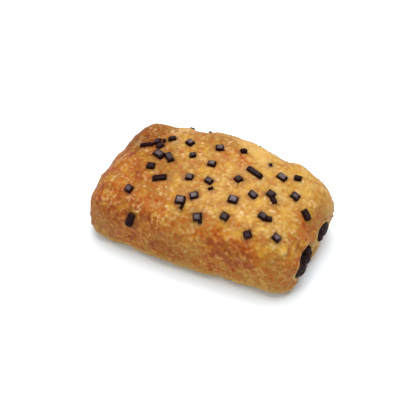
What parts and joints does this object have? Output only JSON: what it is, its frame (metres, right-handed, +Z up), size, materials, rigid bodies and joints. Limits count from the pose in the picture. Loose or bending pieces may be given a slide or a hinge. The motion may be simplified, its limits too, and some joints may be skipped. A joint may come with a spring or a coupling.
{
  "type": "pain au chocolat",
  "caption": "Puffed rectangular roll of browned flaky dough with two chocolate strips running through it and square chocolate chips baked onto the crust.",
  "frame": {"origin": "middle of the flat base the pastry rests on", "axes": "+X along the roll towards the end with the larger mouths, -Y towards the near long side, +Z up"},
  "size_m": [0.122, 0.076, 0.0432],
  "materials": {
    "crust": "browned, egg-glazed flaky crust with a soft sheen",
    "chocolate": "dark chocolate, satin"
  },
  "bodies": {
    "root": {"pastry": "crust", "filling_front": "chocolate", "filling_back": "chocolate"}
  },
  "joints": []
}
